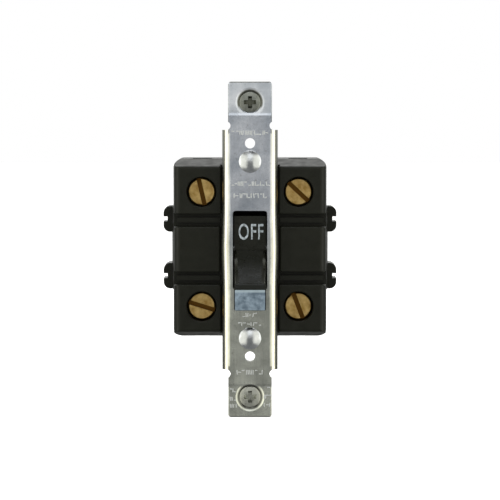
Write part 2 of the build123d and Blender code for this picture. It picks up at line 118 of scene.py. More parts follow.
# The room shines from both sides, as tall panels that stop short of the poles, and from
# above and behind. One small warm lamp hangs in front, a little above eye level.
panel_strength = 1.25
lamp_strength = 1.5
floor_glow = 0.25

world = bpy.data.worlds.new("white_room")
world.use_nodes = True
scene.world = world
sky = world.node_tree
sky.nodes.clear()
ray = add(sky, "ShaderNodeTexCoord")
split = add(sky, "ShaderNodeSeparateXYZ", links={0: (ray, "Generated")})
aside = add(sky, "ShaderNodeMath", {"operation": "ABSOLUTE"}, {0: (split, 0)})
smooth = {"interpolation_type": "SMOOTHSTEP"}
fan = add(sky, "ShaderNodeMapRange", {**smooth, 1: 0.14, 2: 0.34, 3: 0.0, 4: panel_strength}, {0: (aside, 0)})
front = add(sky, "ShaderNodeMapRange", {**smooth, 1: -0.14, 2: 0.08, 3: 1.0, 4: 0.0}, {0: (split, 1)})
height = add(sky, "ShaderNodeMath", {"operation": "ABSOLUTE"}, {0: (split, 2)})
band = add(sky, "ShaderNodeMapRange", {**smooth, 1: 0.36, 2: 0.66, 3: 1.0, 4: 0.0}, {0: (height, 0)})
panels = add(sky, "ShaderNodeMath", {"operation": "MULTIPLY"}, {0: (fan, 0), 1: (front, 0)})
panels = add(sky, "ShaderNodeMath", {"operation": "MULTIPLY"}, {0: (panels, 0), 1: (band, 0)})
near_roof = add(sky, "ShaderNodeMapRange", {**smooth, 1: 0.10, 2: 0.28, 3: 0.78, 4: 0.40}, {0: (split, 2)})
near_roof = add(sky, "ShaderNodeMapRange", {**smooth, 1: 0.42, 2: 0.60, 4: 0.12},
                {0: (split, 2), 3: (near_roof, 0)})
roof = add(sky, "ShaderNodeMapRange", {**smooth, 1: -0.10, 2: 0.45, 4: 1.5},
           {0: (split, 1), 3: (near_roof, 0)})
above = add(sky, "ShaderNodeMapRange", {**smooth, 1: -0.09, 2: 0.12, 3: floor_glow},
            {0: (split, 2), 4: (roof, 0)})
lamp_way = add(sky, "ShaderNodeVectorMath", {"operation": "DOT_PRODUCT", 1: (0, -0.905, 0.425)},
               {0: (ray, "Generated")})
lamp = add(sky, "ShaderNodeMapRange", {**smooth, 1: 0.955, 2: 0.985, 3: 0.0, 4: lamp_strength},
           {0: (lamp_way, 1)})
lit = add(sky, "ShaderNodeMath", {"operation": "MAXIMUM"}, {0: (panels, 0), 1: (above, 0)})
lit = add(sky, "ShaderNodeMath", {"operation": "MAXIMUM"}, {0: (lit, 0), 1: (lamp, 0)})
tint = add(sky, "ShaderNodeMix", {"data_type": "RGBA", 6: linear("#F5F6F4"), 7: linear("#FFFDF0")},
           {0: (panels, 0)})
room = add(sky, "ShaderNodeBackground", links={"Strength": (lit, 0), "Color": (tint, 2)})
white = add(sky, "ShaderNodeBackground", {"Color": (1, 1, 1, 1), "Strength": 1.0})
seen = add(sky, "ShaderNodeLightPath")
both = add(sky, "ShaderNodeMixShader", links={0: (seen, "Is Camera Ray"), 1: (room, 0), 2: (white, 0)})
add(sky, "ShaderNodeOutputWorld", links={0: (both, 0)})

floor_mesh = bpy.data.meshes.new("sweep")
reach = 3.0
low = cad_box[0][2]
corners = [(-reach, -reach, low), (reach, -reach, low), (reach, reach, low), (-reach, reach, low)]
floor_mesh.from_pydata(corners, [], [(0, 1, 2, 3)])
sweep = link_new(floor_mesh, "sweep")
sweep.visible_glossy = False
pale, tree = material("pale_sweep")
paint = add(tree, "ShaderNodeBsdfPrincipled", {"Base Color": linear("#FAFAFA"), "Roughness": 0.9,
                                               "Emission Color": (1, 1, 1, 1), "Emission Strength": 0.55})
add(tree, "ShaderNodeOutputMaterial", links={0: (paint, 0)})
floor_mesh.materials.append(pale)


def light_panel(name, width, height, watts, place):
    """A soft rectangular light that faces the switch."""
    data = bpy.data.lights.new(name, "AREA")
    data.shape = "RECTANGLE"
    data.size = width
    data.size_y = height
    data.energy = watts
    made = link_new(data, name)
    made.location = place
    made.rotation_euler = (-made.location).to_track_quat("-Z", "Y").to_euler()


for side in (-1, 1):
    light_panel("side_panel", 0.35, 0.8, 1.6, (side * 0.75, -0.42, 0.15))
light_panel("top_panel", 0.9, 0.4, 2.7, (0, -0.30, 0.85))


# ---- Mounting strap --------------------------------------------------------------
# One pressing of 1.25 mm steel, zinc plated after forming. The plating is satin along
# the rolling direction, with duller patches from handling and fine draw marks.
strap_low, strap_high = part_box("strap")
seat_low, seat_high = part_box("mounting_screw_top")
screw_up = (seat_low.z + seat_high.z) / 2
web_front = strap_low.y
tab_end = strap_high.z
tab_half = 6.15 * MM
channel_half = 33.9 * MM
bend_start = 5.6 * MM
flank_start = 6.95 * MM
coin_start = 38.0 * MM
sink_r = 3.45 * MM


def per(mm):
    """Noise scale whose features are about this many millimetres across."""
    return 1 / (mm * MM)


def finish_node(node, finish):
    """Give a CAD node one finish all over."""
    mesh = nodes[node].data
    mesh.materials.clear()
    mesh.materials.append(finish)


def zinc_plate():
    """Zinc-plated steel, rolled: satin grey, faintly streaked lengthwise and cloudy, which tells
    the eye that it is sheet. Painted light: the upper part is cooler and brighter, the bends carry
    a warm painted reflection and the flanks a grey one, and the sheared edges and screw seats painted shade."""
    made, tree = material("zinc_plated_steel_rolled")
    at = add(tree, "ShaderNodeTexCoord")
    place = add(tree, "ShaderNodeSeparateXYZ", links={0: (at, "Object")})
    streak_grid = add(tree, "ShaderNodeMapping", {"Scale": (per(0.4545), per(0.4545), per(16.67))},
                      {0: (at, "Object")})
    streak = add(tree, "ShaderNodeTexNoise", {"Scale": 1.0, "Detail": 4.0, "Roughness": 0.6},
                 {0: (streak_grid, 0)})
    cloud = add(tree, "ShaderNodeTexNoise", {"Scale": per(9.09), "Detail": 4.0, "Roughness": 0.55},
                {0: (at, "Object")})
    speck = add(tree, "ShaderNodeTexNoise", {"Scale": per(0.909), "Detail": 3.0, "Roughness": 0.7},
                {0: (at, "Object")})

    # Painted light: the upper part is coloured cooler and brighter, as lit from above, and the lower part
    # warmer and duller grey.
    painted_top_light = add(tree, "ShaderNodeMapRange", {1: -16 * MM, 2: 12 * MM, 3: 1.0, 4: 0.0}, {0: (place, 2)})
    patch = add(tree, "ShaderNodeMapRange", {1: 0.38, 2: 0.62}, {0: (cloud, 0)})
    cool_upper_tone = add(tree, "ShaderNodeMix", {"data_type": "RGBA", 6: linear("#BCC3CE"), 7: linear("#E6EAF3")},
                {0: (patch, 0)})
    dull = add(tree, "ShaderNodeMix", {"data_type": "RGBA", 6: linear("#C2C5BC"), 7: linear("#EAEDE2")},
               {0: (patch, 0)})
    tone = add(tree, "ShaderNodeMix", {"data_type": "RGBA"}, {0: (painted_top_light, 0), 6: (cool_upper_tone, 2), 7: (dull, 2)})
    dust = add(tree, "ShaderNodeMapRange", {1: 0.60, 2: 0.70, 3: 0.0, 4: 0.30}, {0: (speck, 0)})
    spotted = add(tree, "ShaderNodeMix", {"data_type": "RGBA", 7: linear("#8C8A80")},
                  {0: (dust, 0), 6: (tone, 2)})

    # The coined upper end took the texture of the punch, so it is less glossy.
    coined = add(tree, "ShaderNodeMapRange", {1: coin_start - 0.4 * MM, 2: coin_start + MM, 3: 0.0, 4: 0.16},
                 {0: (place, 2)})
    rough = add(tree, "ShaderNodeMapRange", {1: 0.35, 2: 0.65, 3: 0.21, 4: 0.26}, {0: (streak, 0)})
    matte = add(tree, "ShaderNodeMath", {"operation": "ADD"}, {0: (rough, 0), 1: (coined, 0)})
    bump = add(tree, "ShaderNodeBump", {"Strength": 0.05, "Distance": 0.02 * MM}, {"Height": (streak, 0)})
    dent = add(tree, "ShaderNodeBump", {"Strength": 0.25, "Distance": 0.3 * MM},
               {"Height": (cloud, 0), "Normal": (bump, 0)})

    # Painted shade: a dark ring round the screw seats, left off the upward-facing lower side of the top seat,
    # and a dark rim along the sheared top and side edges of the tabs.
    up = add(tree, "ShaderNodeMath", {"operation": "ABSOLUTE"}, {0: (place, 2)})
    across = add(tree, "ShaderNodeMath", {"operation": "ABSOLUTE"}, {0: (place, 0)})
    from_seat = add(tree, "ShaderNodeMath", {"operation": "SUBTRACT", 1: screw_up}, {0: (up, 0)})
    seat = add(tree, "ShaderNodeCombineXYZ", links={0: (across, 0), 1: (from_seat, 0)})
    seat_r = add(tree, "ShaderNodeVectorMath", {"operation": "LENGTH"}, {0: (seat, 0)})
    ring = add(tree, "ShaderNodeMapRange", {1: sink_r, 2: sink_r + 0.3 * MM, 3: 1.0, 4: 0.0}, {0: (seat_r, 1)})
    shaded_seat_part = add(tree, "ShaderNodeMapRange", {1: -2.2 * MM, 2: -1.0 * MM}, {0: (from_seat, 0)})
    lower_tab = add(tree, "ShaderNodeMath", {"operation": "LESS_THAN", 1: 0.0}, {0: (place, 2)})
    shaded_seat_part = add(tree, "ShaderNodeMath", {"operation": "MAXIMUM"}, {0: (shaded_seat_part, 0), 1: (lower_tab, 0)})
    ring = add(tree, "ShaderNodeMath", {"operation": "MULTIPLY"}, {0: (ring, 0), 1: (shaded_seat_part, 0)})
    painted_rim_and_seat_shade = add(tree, "ShaderNodeMapRange", {1: tab_end - 0.35 * MM, 2: tab_end - 0.17 * MM}, {0: (up, 0)})
    painted_side_shade = add(tree, "ShaderNodeMapRange", {1: tab_half - 0.17 * MM, 2: tab_half - 0.07 * MM},
                {0: (across, 0)})
    tab_only = add(tree, "ShaderNodeMath", {"operation": "GREATER_THAN", 1: channel_half + 0.3 * MM},
                   {0: (up, 0)})
    painted_side_shade = add(tree, "ShaderNodeMath", {"operation": "MULTIPLY"}, {0: (painted_side_shade, 0), 1: (tab_only, 0)})
    painted_rim_and_seat_shade = add(tree, "ShaderNodeMath", {"operation": "MAXIMUM"}, {0: (painted_rim_and_seat_shade, 0), 1: (painted_side_shade, 0)})
    painted_rim_and_seat_shade = add(tree, "ShaderNodeMath", {"operation": "MAXIMUM"}, {0: (painted_rim_and_seat_shade, 0), 1: (ring, 0)})

    # Painted reflection: the bends are tinted warm, as they reflect the side panels, and the flanks behind
    # them are painted grey, as a dark reflection.
    painted_bend_reflection = add(tree, "ShaderNodeMapRange", {1: bend_start, 2: bend_start + 0.8 * MM, 3: 0.0, 4: 0.8},
               {0: (across, 0)})
    bend_and_flank_reflection = add(tree, "ShaderNodeMix", {"data_type": "RGBA", 7: linear("#D8D4C2")},
               {0: (painted_bend_reflection, 0), 6: (spotted, 2)})
    painted_dark_flank = add(tree, "ShaderNodeMapRange", {1: flank_start, 2: flank_start + 0.3 * MM}, {0: (across, 0)})
    bend_and_flank_reflection = add(tree, "ShaderNodeMix", {"data_type": "RGBA", 7: linear("#93948A")},
               {0: (painted_dark_flank, 0), 6: (bend_and_flank_reflection, 2)})
    with_painted_bends = add(tree, "ShaderNodeMix", {"data_type": "RGBA"},
                 {0: (tab_only, 0), 6: (bend_and_flank_reflection, 2), 7: (spotted, 2)})
    shaded_edges = add(tree, "ShaderNodeMix", {"data_type": "RGBA", 7: linear("#6B6C66")},
                  {0: (painted_rim_and_seat_shade, 0), 6: (with_painted_bends, 2)})
    steel = add(tree, "ShaderNodeBsdfPrincipled", {"Metallic": 1.0},
                {"Base Color": (shaded_edges, 2), "Roughness": (matte, 0), "Normal": (dent, 0)})
    add(tree, "ShaderNodeOutputMaterial", links={0: (steel, 0)})
    return made


zinc = zinc_plate()
finish_node("strap", zinc)


# ---- Stamped rows ----------------------------------------------------------------
# The strap is stamped with rows of small marks. Here they are plain strokes that spell
# nothing, struck up a hair above the steel so that their edges catch the light.
stroke_w = 0.28
stroke_h = 0.30
stroke_rise = 0.05
coin_depth = 0.15 * MM


def strokes(bm, x0, x1, z_mid, tall, front, luck):
    """One row of short upright and level strokes between two X positions, in millimetres."""
    x = x0
    while x < x1:
        wide = luck.choice((stroke_w, stroke_w, 0.60, 0.80))
        high = stroke_h if wide > stroke_w else tall
        z = z_mid + luck.choice((-0.5, 0.0, 0.5)) * (tall - high)
        turn = Matrix.Rotation(math.radians(luck.uniform(-9, 9)), 4, "Y")
        size = Matrix.Diagonal((wide * MM, stroke_rise * MM, high * MM, 1))
        place = Matrix.Translation(((x + wide / 2) * MM, front, z * MM))
        made = bmesh.ops.create_cube(bm, size=1.0, matrix=place @ turn @ size)
        edges = {e for v in made["verts"] for e in v.link_edges}
        bmesh.ops.bevel(bm, geom=list(edges), offset=0.02 * MM, segments=1, affect="EDGES")
        x += wide + luck.choice((0.12, 0.18, 0.18, 0.45))


# Struck metal has a broken, matte skin, so the marks read paler than the satin around them.
upset, tree = material("zinc_plated_steel_struck")
metal = add(tree, "ShaderNodeBsdfPrincipled",
            {"Metallic": 0.75, "Base Color": linear("#C3C6C6"), "Roughness": 0.5})
add(tree, "ShaderNodeOutputMaterial", links={0: (metal, 0)})
coin_front = web_front + coin_depth
rows = [(-5.2, 4.9, 33.1, 1.2), (-5.2, 5.0, 18.8, 1.2), (-4.6, 4.2, 15.4, 1.3), (-2.2, 1.3, -18.3, 1.2),
        (-3.4, 3.2, -20.9, 1.0), (-3.8, 3.6, -34.6, 1.3), (-5.7, -3.9, -39.8, 1.1), (-5.7, -3.9, -42.2, 1.1),
        (-5.7, -3.9, -44.2, 1.1), (3.9, 5.6, -38.9, 1.1), (3.9, 5.6, -41.6, 1.1), (3.9, 5.6, -43.9, 1.1)]
bm = bmesh.new()
luck = random.Random(11)
for x0, x1, z_mid, tall in rows:
    front = coin_front if abs(z_mid) * MM > coin_start else web_front
    strokes(bm, x0, x1, z_mid, tall, front, luck)
struck_mesh = bpy.data.meshes.new("struck_rows")
bm.to_mesh(struck_mesh)
bm.free()
struck_mesh.materials.append(upset)
struck_rows = link_new(struck_mesh, "struck_rows")
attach(struck_rows, "housing")


# ---- Housing mouldings -----------------------------------------------------------
# Front cover and rear base, compression moulded from black phenolic and held together by
# the two rivets. The skin is dull, with the faint swirls that the flowing resin leaves.
def phenolic(name, dark, pale_tone, rough_low, rough_high):
    """Phenolic, moulded: a dull dark skin, faintly cloudy, with a fine grain that breaks up
    the highlights and tells the eye that it is not painted."""
    made, tree = material(name)
    at = add(tree, "ShaderNodeTexCoord")
    cloud = add(tree, "ShaderNodeTexNoise", {"Scale": per(3.85), "Detail": 6.0, "Roughness": 0.65},
                {0: (at, "Object")})
    grain = add(tree, "ShaderNodeTexNoise", {"Scale": per(0.417), "Detail": 2.0}, {0: (at, "Object")})
    flow = add(tree, "ShaderNodeTexNoise", {"Scale": per(2.38), "Detail": 3.0}, {0: (at, "Object")})
    tone = add(tree, "ShaderNodeMix", {"data_type": "RGBA", 6: linear(dark), 7: linear(pale_tone)},
               {0: (cloud, 0)})
    rough = add(tree, "ShaderNodeMapRange", {1: 0.3, 2: 0.7, 3: rough_low, 4: rough_high}, {0: (flow, 0)})
    bump = add(tree, "ShaderNodeBump", {"Strength": 0.22, "Distance": 0.06 * MM}, {"Height": (grain, 0)})
    wave = add(tree, "ShaderNodeBump", {"Strength": 0.25, "Distance": 0.3 * MM},
               {"Height": (flow, 0), "Normal": (bump, 0)})
    skin = add(tree, "ShaderNodeBsdfPrincipled", {"IOR": 1.50, "Specular IOR Level": 0.17},
               {"Base Color": (tone, 2), "Roughness": (rough, 0), "Normal": (wave, 0)})
    add(tree, "ShaderNodeOutputMaterial", links={0: (skin, 0)})
    return made


housing_black = phenolic("black_phenolic_moulded", "#0F100A", "#191A13", 0.30, 0.46)
for name in ("front_cover", "rear_base"):
    finish_node(name, housing_black)


# ---- Toggle ----------------------------------------------------------------------
# The handle is moulded in one piece with its two shields. It is smoother than the
# housing, and its end face carries a worn blue-grey fill, with a painted highlight along
# its upper edge. ON and OFF are moulded in and filled with off-white paint.
pivot = Vector((0, 9.5 * MM, 0))
rest_tilt = math.radians(30)
handle_reach = 26.2 * MM
head_half = 3.7 * MM
shield_front = 0.40 * MM
along_handle = Vector((0, -math.cos(rest_tilt), -math.sin(rest_tilt)))
over_handle = Vector((0, -math.sin(rest_tilt), math.cos(rest_tilt)))
end_face = handle_reach + along_handle.dot(pivot)
end_top = head_half + over_handle.dot(pivot)

# Polished phenolic is the same dark stuff with a tighter sheen, worn dull near the end.
toggle_black = phenolic("black_phenolic_polished", "#141510", "#1F201B", 0.24, 0.36)
tree = toggle_black.node_tree
skin = next(n for n in tree.nodes if n.type == "BSDF_PRINCIPLED")
tone = skin.inputs["Base Color"].links[0].from_node
at = add(tree, "ShaderNodeTexCoord")
along = add(tree, "ShaderNodeVectorMath", {"operation": "DOT_PRODUCT", 1: along_handle}, {0: (at, "Object")})
filled = add(tree, "ShaderNodeMapRange", {1: end_face - 0.04 * MM, 2: end_face - 0.01 * MM}, {0: (along, 1)})
scuff = add(tree, "ShaderNodeTexNoise", {"Scale": per(1.92), "Detail": 5.0, "Roughness": 0.6},
            {0: (at, "Object")})
scuff = add(tree, "ShaderNodeMapRange", {1: 0.36, 2: 0.64}, {0: (scuff, 0)})
fill = add(tree, "ShaderNodeMix", {"data_type": "RGBA", 6: linear("#4A5660"), 7: linear("#778590")},
           {0: (scuff, 0)})
over = add(tree, "ShaderNodeVectorMath", {"operation": "DOT_PRODUCT", 1: over_handle}, {0: (at, "Object")})
# Painted highlight: the upper edge of the end face is coloured lighter, as a rounded edge catching the light.
painted_top_highlight = add(tree, "ShaderNodeMapRange", {1: end_top - 1.25 * MM, 2: end_top - 0.95 * MM, 3: 0.0, 4: 0.75},
                {0: (over, 1)})
fill = add(tree, "ShaderNodeMix", {"data_type": "RGBA", 7: linear("#8B989E")},
           {0: (painted_top_highlight, 0), 6: (fill, 2)})
two_tone = add(tree, "ShaderNodeMix", {"data_type": "RGBA"}, {0: (filled, 0), 6: (tone, 2), 7: (fill, 2)})
tree.links.new(two_tone.outputs[2], skin.inputs["Base Color"])
handled = add(tree, "ShaderNodeMapRange", {1: end_face - 2.3 * MM, 2: end_face - 1.9 * MM, 3: 0.19, 4: 0.05},
              {0: (along, 1)})
tree.links.new(handled.outputs[0], skin.inputs["Specular IOR Level"])
finish_node("toggle_handle", toggle_black)

# Brushed-in paint, rubbed thin: patches go grey where the black shows through.
paint_white, tree = material("lettering_paint_worn")
at = add(tree, "ShaderNodeTexCoord")
chips = add(tree, "ShaderNodeTexNoise", {"Scale": per(0.556), "Detail": 4.0, "Roughness": 0.6},
            {0: (at, "Object")})
worn = add(tree, "ShaderNodeMapRange", {1: 0.38, 2: 0.62}, {0: (chips, 0)})
tone = add(tree, "ShaderNodeMix", {"data_type": "RGBA", 6: linear("#6F787C"), 7: linear("#AAB2B8")},
           {0: (worn, 0)})
skin = add(tree, "ShaderNodeBsdfPrincipled", {"Roughness": 0.6}, {"Base Color": (tone, 2)})
add(tree, "ShaderNodeOutputMaterial", links={0: (skin, 0)})

letter_h = 4.5 * MM
letter_up = 5.15 * MM


def word(text, name, width, height, turn, x_mid, z_mid):
    """A raised word on one shield, set upright in front of the opening, then turned about the pivot."""
    curve = bpy.data.curves.new(name, "FONT")
    curve.body = text
    curve.align_x = "CENTER"
    curve.align_y = "CENTER"
    curve.size = 6 * MM
    curve.offset = 0.04 * MM
    curve.extrude = 0.06 * MM
    curve.space_character = 1.12
    drawn = link_new(curve, name + "_draft")
    bpy.context.view_layer.update()
    solid = bpy.data.meshes.new_from_object(drawn.evaluated_get(bpy.context.evaluated_depsgraph_get()))
    bpy.data.objects.remove(drawn)
    xs = [v.co.x for v in solid.vertices]
    ys = [v.co.y for v in solid.vertices]
    fit = Matrix.Diagonal((width / (max(xs) - min(xs)), height / (max(ys) - min(ys)), 1, 1))
    centre = Matrix.Translation((-(max(xs) + min(xs)) / 2, -(max(ys) + min(ys)) / 2, 0))
    stand = Matrix.Translation((x_mid, shield_front, z_mid)) @ Matrix.Rotation(math.pi / 2, 4, "X")
    swing = Matrix.Translation(pivot) @ Matrix.Rotation(turn, 4, "X") @ Matrix.Translation(-pivot)
    solid.transform(swing @ stand @ fit @ centre)
    made = link_new(solid, name)
    solid.materials.append(paint_white)
    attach(made, "toggle")
    return made


word("OFF", "word_off", 7.0 * MM, letter_h, 0, 0.28 * MM, letter_up)
word("ON", "word_on", 5.0 * MM, letter_h, 2 * rest_tilt, 0.0, -letter_up)


# ---- Terminal screws -------------------------------------------------------------
# Slotted round-head screws turned from brass bar and left bare. The faces have gone
# dull brown, with fine turning rings and a dark slot.
ring_pitch = 0.28 * MM
slot_mouth = 4.75 * MM
slot_floor = 5.45 * MM


def turned_brass(name, centre):
    """Brass, turned and left bare: rings about the screw's own axis catch the light under
    brown tarnish. The rings are drawn coarser than a real tool mark, so that they show."""
    made, tree = material(name)
    at = add(tree, "ShaderNodeTexCoord")
    own = add(tree, "ShaderNodeMapping", {"Location": (-centre.x, 0, -centre.z), "Scale": (1, 0, 1)},
              {0: (at, "Object")})
    radius = add(tree, "ShaderNodeVectorMath", {"operation": "LENGTH"}, {0: (own, 0)})
    rings = add(tree, "ShaderNodeMath", {"operation": "MULTIPLY", 1: 2 * math.pi / ring_pitch},
                {0: (radius, 1)})
    rings = add(tree, "ShaderNodeMath", {"operation": "SINE"}, {0: (rings, 0)})
    tarnish = add(tree, "ShaderNodeTexNoise", {"Scale": per(2.38), "Detail": 6.0, "Roughness": 0.62},
                  {0: (at, "Object")})
    stain = add(tree, "ShaderNodeMapRange", {1: 0.35, 2: 0.65}, {0: (tarnish, 0)})
    tone = add(tree, "ShaderNodeMix", {"data_type": "RGBA", 6: linear("#957743"), 7: linear("#C9AE74")},
               {0: (stain, 0)})
    deep = add(tree, "ShaderNodeSeparateXYZ", links={0: (at, "Object")})
    below = add(tree, "ShaderNodeMapRange", {1: slot_mouth, 2: slot_floor}, {0: (deep, 1)})
    tone = add(tree, "ShaderNodeMix", {"data_type": "RGBA", 7: linear("#5A3E18")},
               {0: (below, 0), 6: (tone, 2)})
    rough = add(tree, "ShaderNodeMapRange", {1: 0.3, 2: 0.7, 3: 0.46, 4: 0.30}, {0: (tarnish, 0)})
    bump = add(tree, "ShaderNodeBump", {"Strength": 0.3, "Distance": 0.02 * MM}, {"Height": (rings, 0)})
    pit = add(tree, "ShaderNodeBump", {"Strength": 0.5, "Distance": 0.15 * MM},
              {"Height": (tarnish, 0), "Normal": (bump, 0)})
    metal = add(tree, "ShaderNodeBsdfPrincipled", {"Metallic": 1.0},
                {"Base Color": (tone, 2), "Roughness": (rough, 0), "Normal": (pit, 0)})
    add(tree, "ShaderNodeOutputMaterial", links={0: (metal, 0)})
    return made


for corner in ("tl", "tr", "bl", "br"):
    lo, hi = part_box("terminal_screw_" + corner)
    finish_node("terminal_screw_" + corner, turned_brass("brass_turned_" + corner, (lo + hi) / 2))


# ---- Bright hardware -------------------------------------------------------------
# Rivets, clamp plates, contact springs and the pivot pin: small steel parts, barrel plated
# with bright zinc, so smoother than the strap.
def bright_zinc():
    """Zinc-plated steel, tumbled: cool and fairly shiny, with the soft dimples of the barrel,
    so its highlights are rounder than the strap's."""
    made, tree = material("zinc_plated_steel_tumbled")
    at = add(tree, "ShaderNodeTexCoord")
    tumble = add(tree, "ShaderNodeTexNoise", {"Scale": per(1.43), "Detail": 4.0}, {0: (at, "Object")})
    tone = add(tree, "ShaderNodeMix", {"data_type": "RGBA", 6: linear("#B4B8BC"), 7: linear("#E6E9EC")},
               {0: (tumble, 0)})
    rough = add(tree, "ShaderNodeMapRange", {1: 0.3, 2: 0.7, 3: 0.16, 4: 0.28}, {0: (tumble, 0)})
    bump = add(tree, "ShaderNodeBump", {"Strength": 0.35, "Distance": 0.12 * MM}, {"Height": (tumble, 0)})
    metal = add(tree, "ShaderNodeBsdfPrincipled", {"Metallic": 1.0},
                {"Base Color": (tone, 2), "Roughness": (rough, 0), "Normal": (bump, 0)})
    add(tree, "ShaderNodeOutputMaterial", links={0: (metal, 0)})
    return made


bright = bright_zinc()
for name in nodes:
    if name.startswith(("housing_rivets", "clamp_plate", "pivot_pin", "contact_spring")):
        finish_node(name, bright)


# ---- Box screws and rivets -------------------------------------------------------
# Two domed rivets hold strap, cover and base together. The box screws are number 6 oval-head
# machine screws, thread 32 to the inch; their cross recess is painted dark as shade.
thread_pitch = 25.4 / 32 * MM
thread_start = 3.4 * MM
thread_end = 20.6 * MM
thread_r = 1.75 * MM
thread_depth = 0.38 * MM
thread_step = 0.09 * MM
neck_r = 1.5 * MM
head_r = 2.95 * MM
head_crown = 0.2 * MM
sink_slope = math.tan(math.radians(41))
recess_len = 4.8 * MM
recess_w = 1.48 * MM
recess_deep = 2.6 * MM
rivet_half_pitch = 25 * MM
rivet_r = 1.6 * MM
rivet_head_r = 3.15 * MM
rivet_rise = 0.75 * MM
roll_r = 2.7 * MM
roll_t = 0.8 * MM


def crown_radius(r, rise):
    """Radius of the ball whose cap is this wide at its foot and this high."""
    return (r ** 2 + rise ** 2) / (2 * rise)


def threaded_zinc(crown):
    """Zinc-plated steel, thread-rolled: grey and satin, with painted shade down in the recess and
    under the head, stronger on the upper screw. The upper screw is coloured darker than the lower one."""
    made, tree = material("zinc_plated_steel_threaded")
    at = add(tree, "ShaderNodeTexCoord")
    deep = add(tree, "ShaderNodeSeparateXYZ", links={0: (at, "Object")})
    recess_shade = add(tree, "ShaderNodeMapRange", {1: crown + 0.25 * MM, 2: crown + 1.10 * MM, 3: 0.0, 4: 1.0},
                {0: (deep, 1)})
    clear = add(tree, "ShaderNodeMapRange", {1: 0.8 * MM, 2: 1.6 * MM, 3: 1.0, 4: 0.0}, {0: (deep, 1)})
    dark = add(tree, "ShaderNodeMath", {"operation": "MULTIPLY"}, {0: (recess_shade, 0), 1: (clear, 0)})
    upper = add(tree, "ShaderNodeMapRange", {1: -1 * MM, 2: 1 * MM, 3: 0.25, 4: 1.0}, {0: (deep, 2)})
    dark = add(tree, "ShaderNodeMath", {"operation": "MULTIPLY"}, {0: (dark, 0), 1: (upper, 0)})
    stain = add(tree, "ShaderNodeTexNoise", {"Scale": per(1.11), "Detail": 4.0, "Roughness": 0.6},
                {0: (at, "Object")})
    tone = add(tree, "ShaderNodeMix", {"data_type": "RGBA", 6: linear("#6F736D"), 7: linear("#A2A59F")},
               {0: (stain, 0)})
    lower_screw_tone = add(tree, "ShaderNodeMix", {"data_type": "RGBA", 6: linear("#A3A59D"), 7: linear("#D0D2CA")},
                {0: (stain, 0)})
    lower = add(tree, "ShaderNodeMath", {"operation": "LESS_THAN", 1: 0.0}, {0: (deep, 2)})
    tone = add(tree, "ShaderNodeMix", {"data_type": "RGBA"}, {0: (lower, 0), 6: (tone, 2), 7: (lower_screw_tone, 2)})
    tone = add(tree, "ShaderNodeMix", {"data_type": "RGBA", 7: linear("#686A60")},
               {0: (dark, 0), 6: (tone, 2)})
    rough = add(tree, "ShaderNodeMapRange", {1: 0.3, 2: 0.7, 3: 0.24, 4: 0.36}, {0: (stain, 0)})
    metal = add(tree, "ShaderNodeBsdfPrincipled", {"Metallic": 1.0},
                {"Base Color": (tone, 2), "Roughness": (rough, 0)})
    add(tree, "ShaderNodeOutputMaterial", links={0: (metal, 0)})
    return made


def lathe(rings, around, centre, name):
    """A closed turned solid about Y: each ring is a depth and a radius, or a radius for each angle."""
    bm = bmesh.new()
    loops = []
    for y, radius in rings:
        loop = []
        for k in range(around):
            turn = 2 * math.pi * k / around
            r = radius(y, turn) if callable(radius) else radius
            loop.append(bm.verts.new((centre.x + r * math.cos(turn), y, centre.z + r * math.sin(turn))))
        loops.append(loop)
    for a, b in zip(loops, loops[1:]):
        for k in range(around):
            bm.faces.new((a[k], a[(k + 1) % around], b[(k + 1) % around], b[k]))
    bm.faces.new(loops[0])
    bm.faces.new(reversed(loops[-1]))
    bmesh.ops.recalc_face_normals(bm, faces=bm.faces)
    mesh = bpy.data.meshes.new(name)
    bm.to_mesh(mesh)
    bm.free()
    return mesh


def thread(y, turn):
    """Radius of a rolled thread, fading out at both ends of the shank."""
    phase = (y / thread_pitch - turn / (2 * math.pi)) % 1.0
    fade = min(1.0, (y - thread_start) / thread_pitch, (thread_end - y) / (thread_pitch / 2))
    return thread_r - thread_depth * abs(2 * phase - 1) * max(0.0, fade)


def box_screw(name, lo, hi):
    """One screw: crowned head, cone, plain neck, threaded shank, and a tapered cross recess."""
    centre = (lo + hi) / 2
    edge = lo.y + head_crown
    ball = crown_radius(head_r, head_crown)
    rings = [(lo.y + ball - math.sqrt(ball ** 2 - r ** 2), r)
             for r in (head_r * k / 6 for k in (0.2, 1, 2, 3, 4, 5, 5.7))]
    rings += [(edge + 0.03 * MM, head_r), (edge + (head_r - neck_r) / sink_slope, neck_r),
              (thread_start, neck_r)]
    cuts = int((thread_end - thread_start) / thread_step)
    rings += [(thread_start + 0.02 * MM + thread_step * k, thread) for k in range(cuts)]
    rings += [(thread_end + 0.05 * MM, thread_r - 0.05 * MM), (hi.y, thread_r - 0.4 * MM)]
    screw = link_new(lathe(rings, 40, centre, name), name)
    bars = []
    for angle in (0, 90):
        bm = bmesh.new()
        size = Matrix.Diagonal((recess_len, recess_deep, recess_w, 1))
        turn = Matrix.Rotation(math.radians(angle), 4, "Y")
        bmesh.ops.create_cube(bm, size=1.0)
        for v in bm.verts:
            if v.co.y > 0:
                v.co.x *= 0.45
                v.co.z *= 0.55
        bm.transform(Matrix.Translation((centre.x, lo.y, centre.z)) @ turn @ size)
        cutter_mesh = bpy.data.meshes.new("recess")
        bm.to_mesh(cutter_mesh)
        bm.free()
        bars.append(link_new(cutter_mesh, "recess"))
        cut = screw.modifiers.new("recess", "BOOLEAN")
        cut.operation = "DIFFERENCE"
        cut.object = bars[-1]
    bpy.context.view_layer.update()
    shaped = bpy.data.meshes.new_from_object(screw.evaluated_get(bpy.context.evaluated_depsgraph_get()))
    for old in [screw] + bars:
        bpy.data.objects.remove(old)
    made = link_new(shaped, name)
    for face in shaped.polygons:
        face.use_smooth = thread_start - 0.1 * MM < face.center.y < hi.y - 0.1 * MM
    shaped.materials.clear()
    shaped.materials.append(screw_steel)
    return made


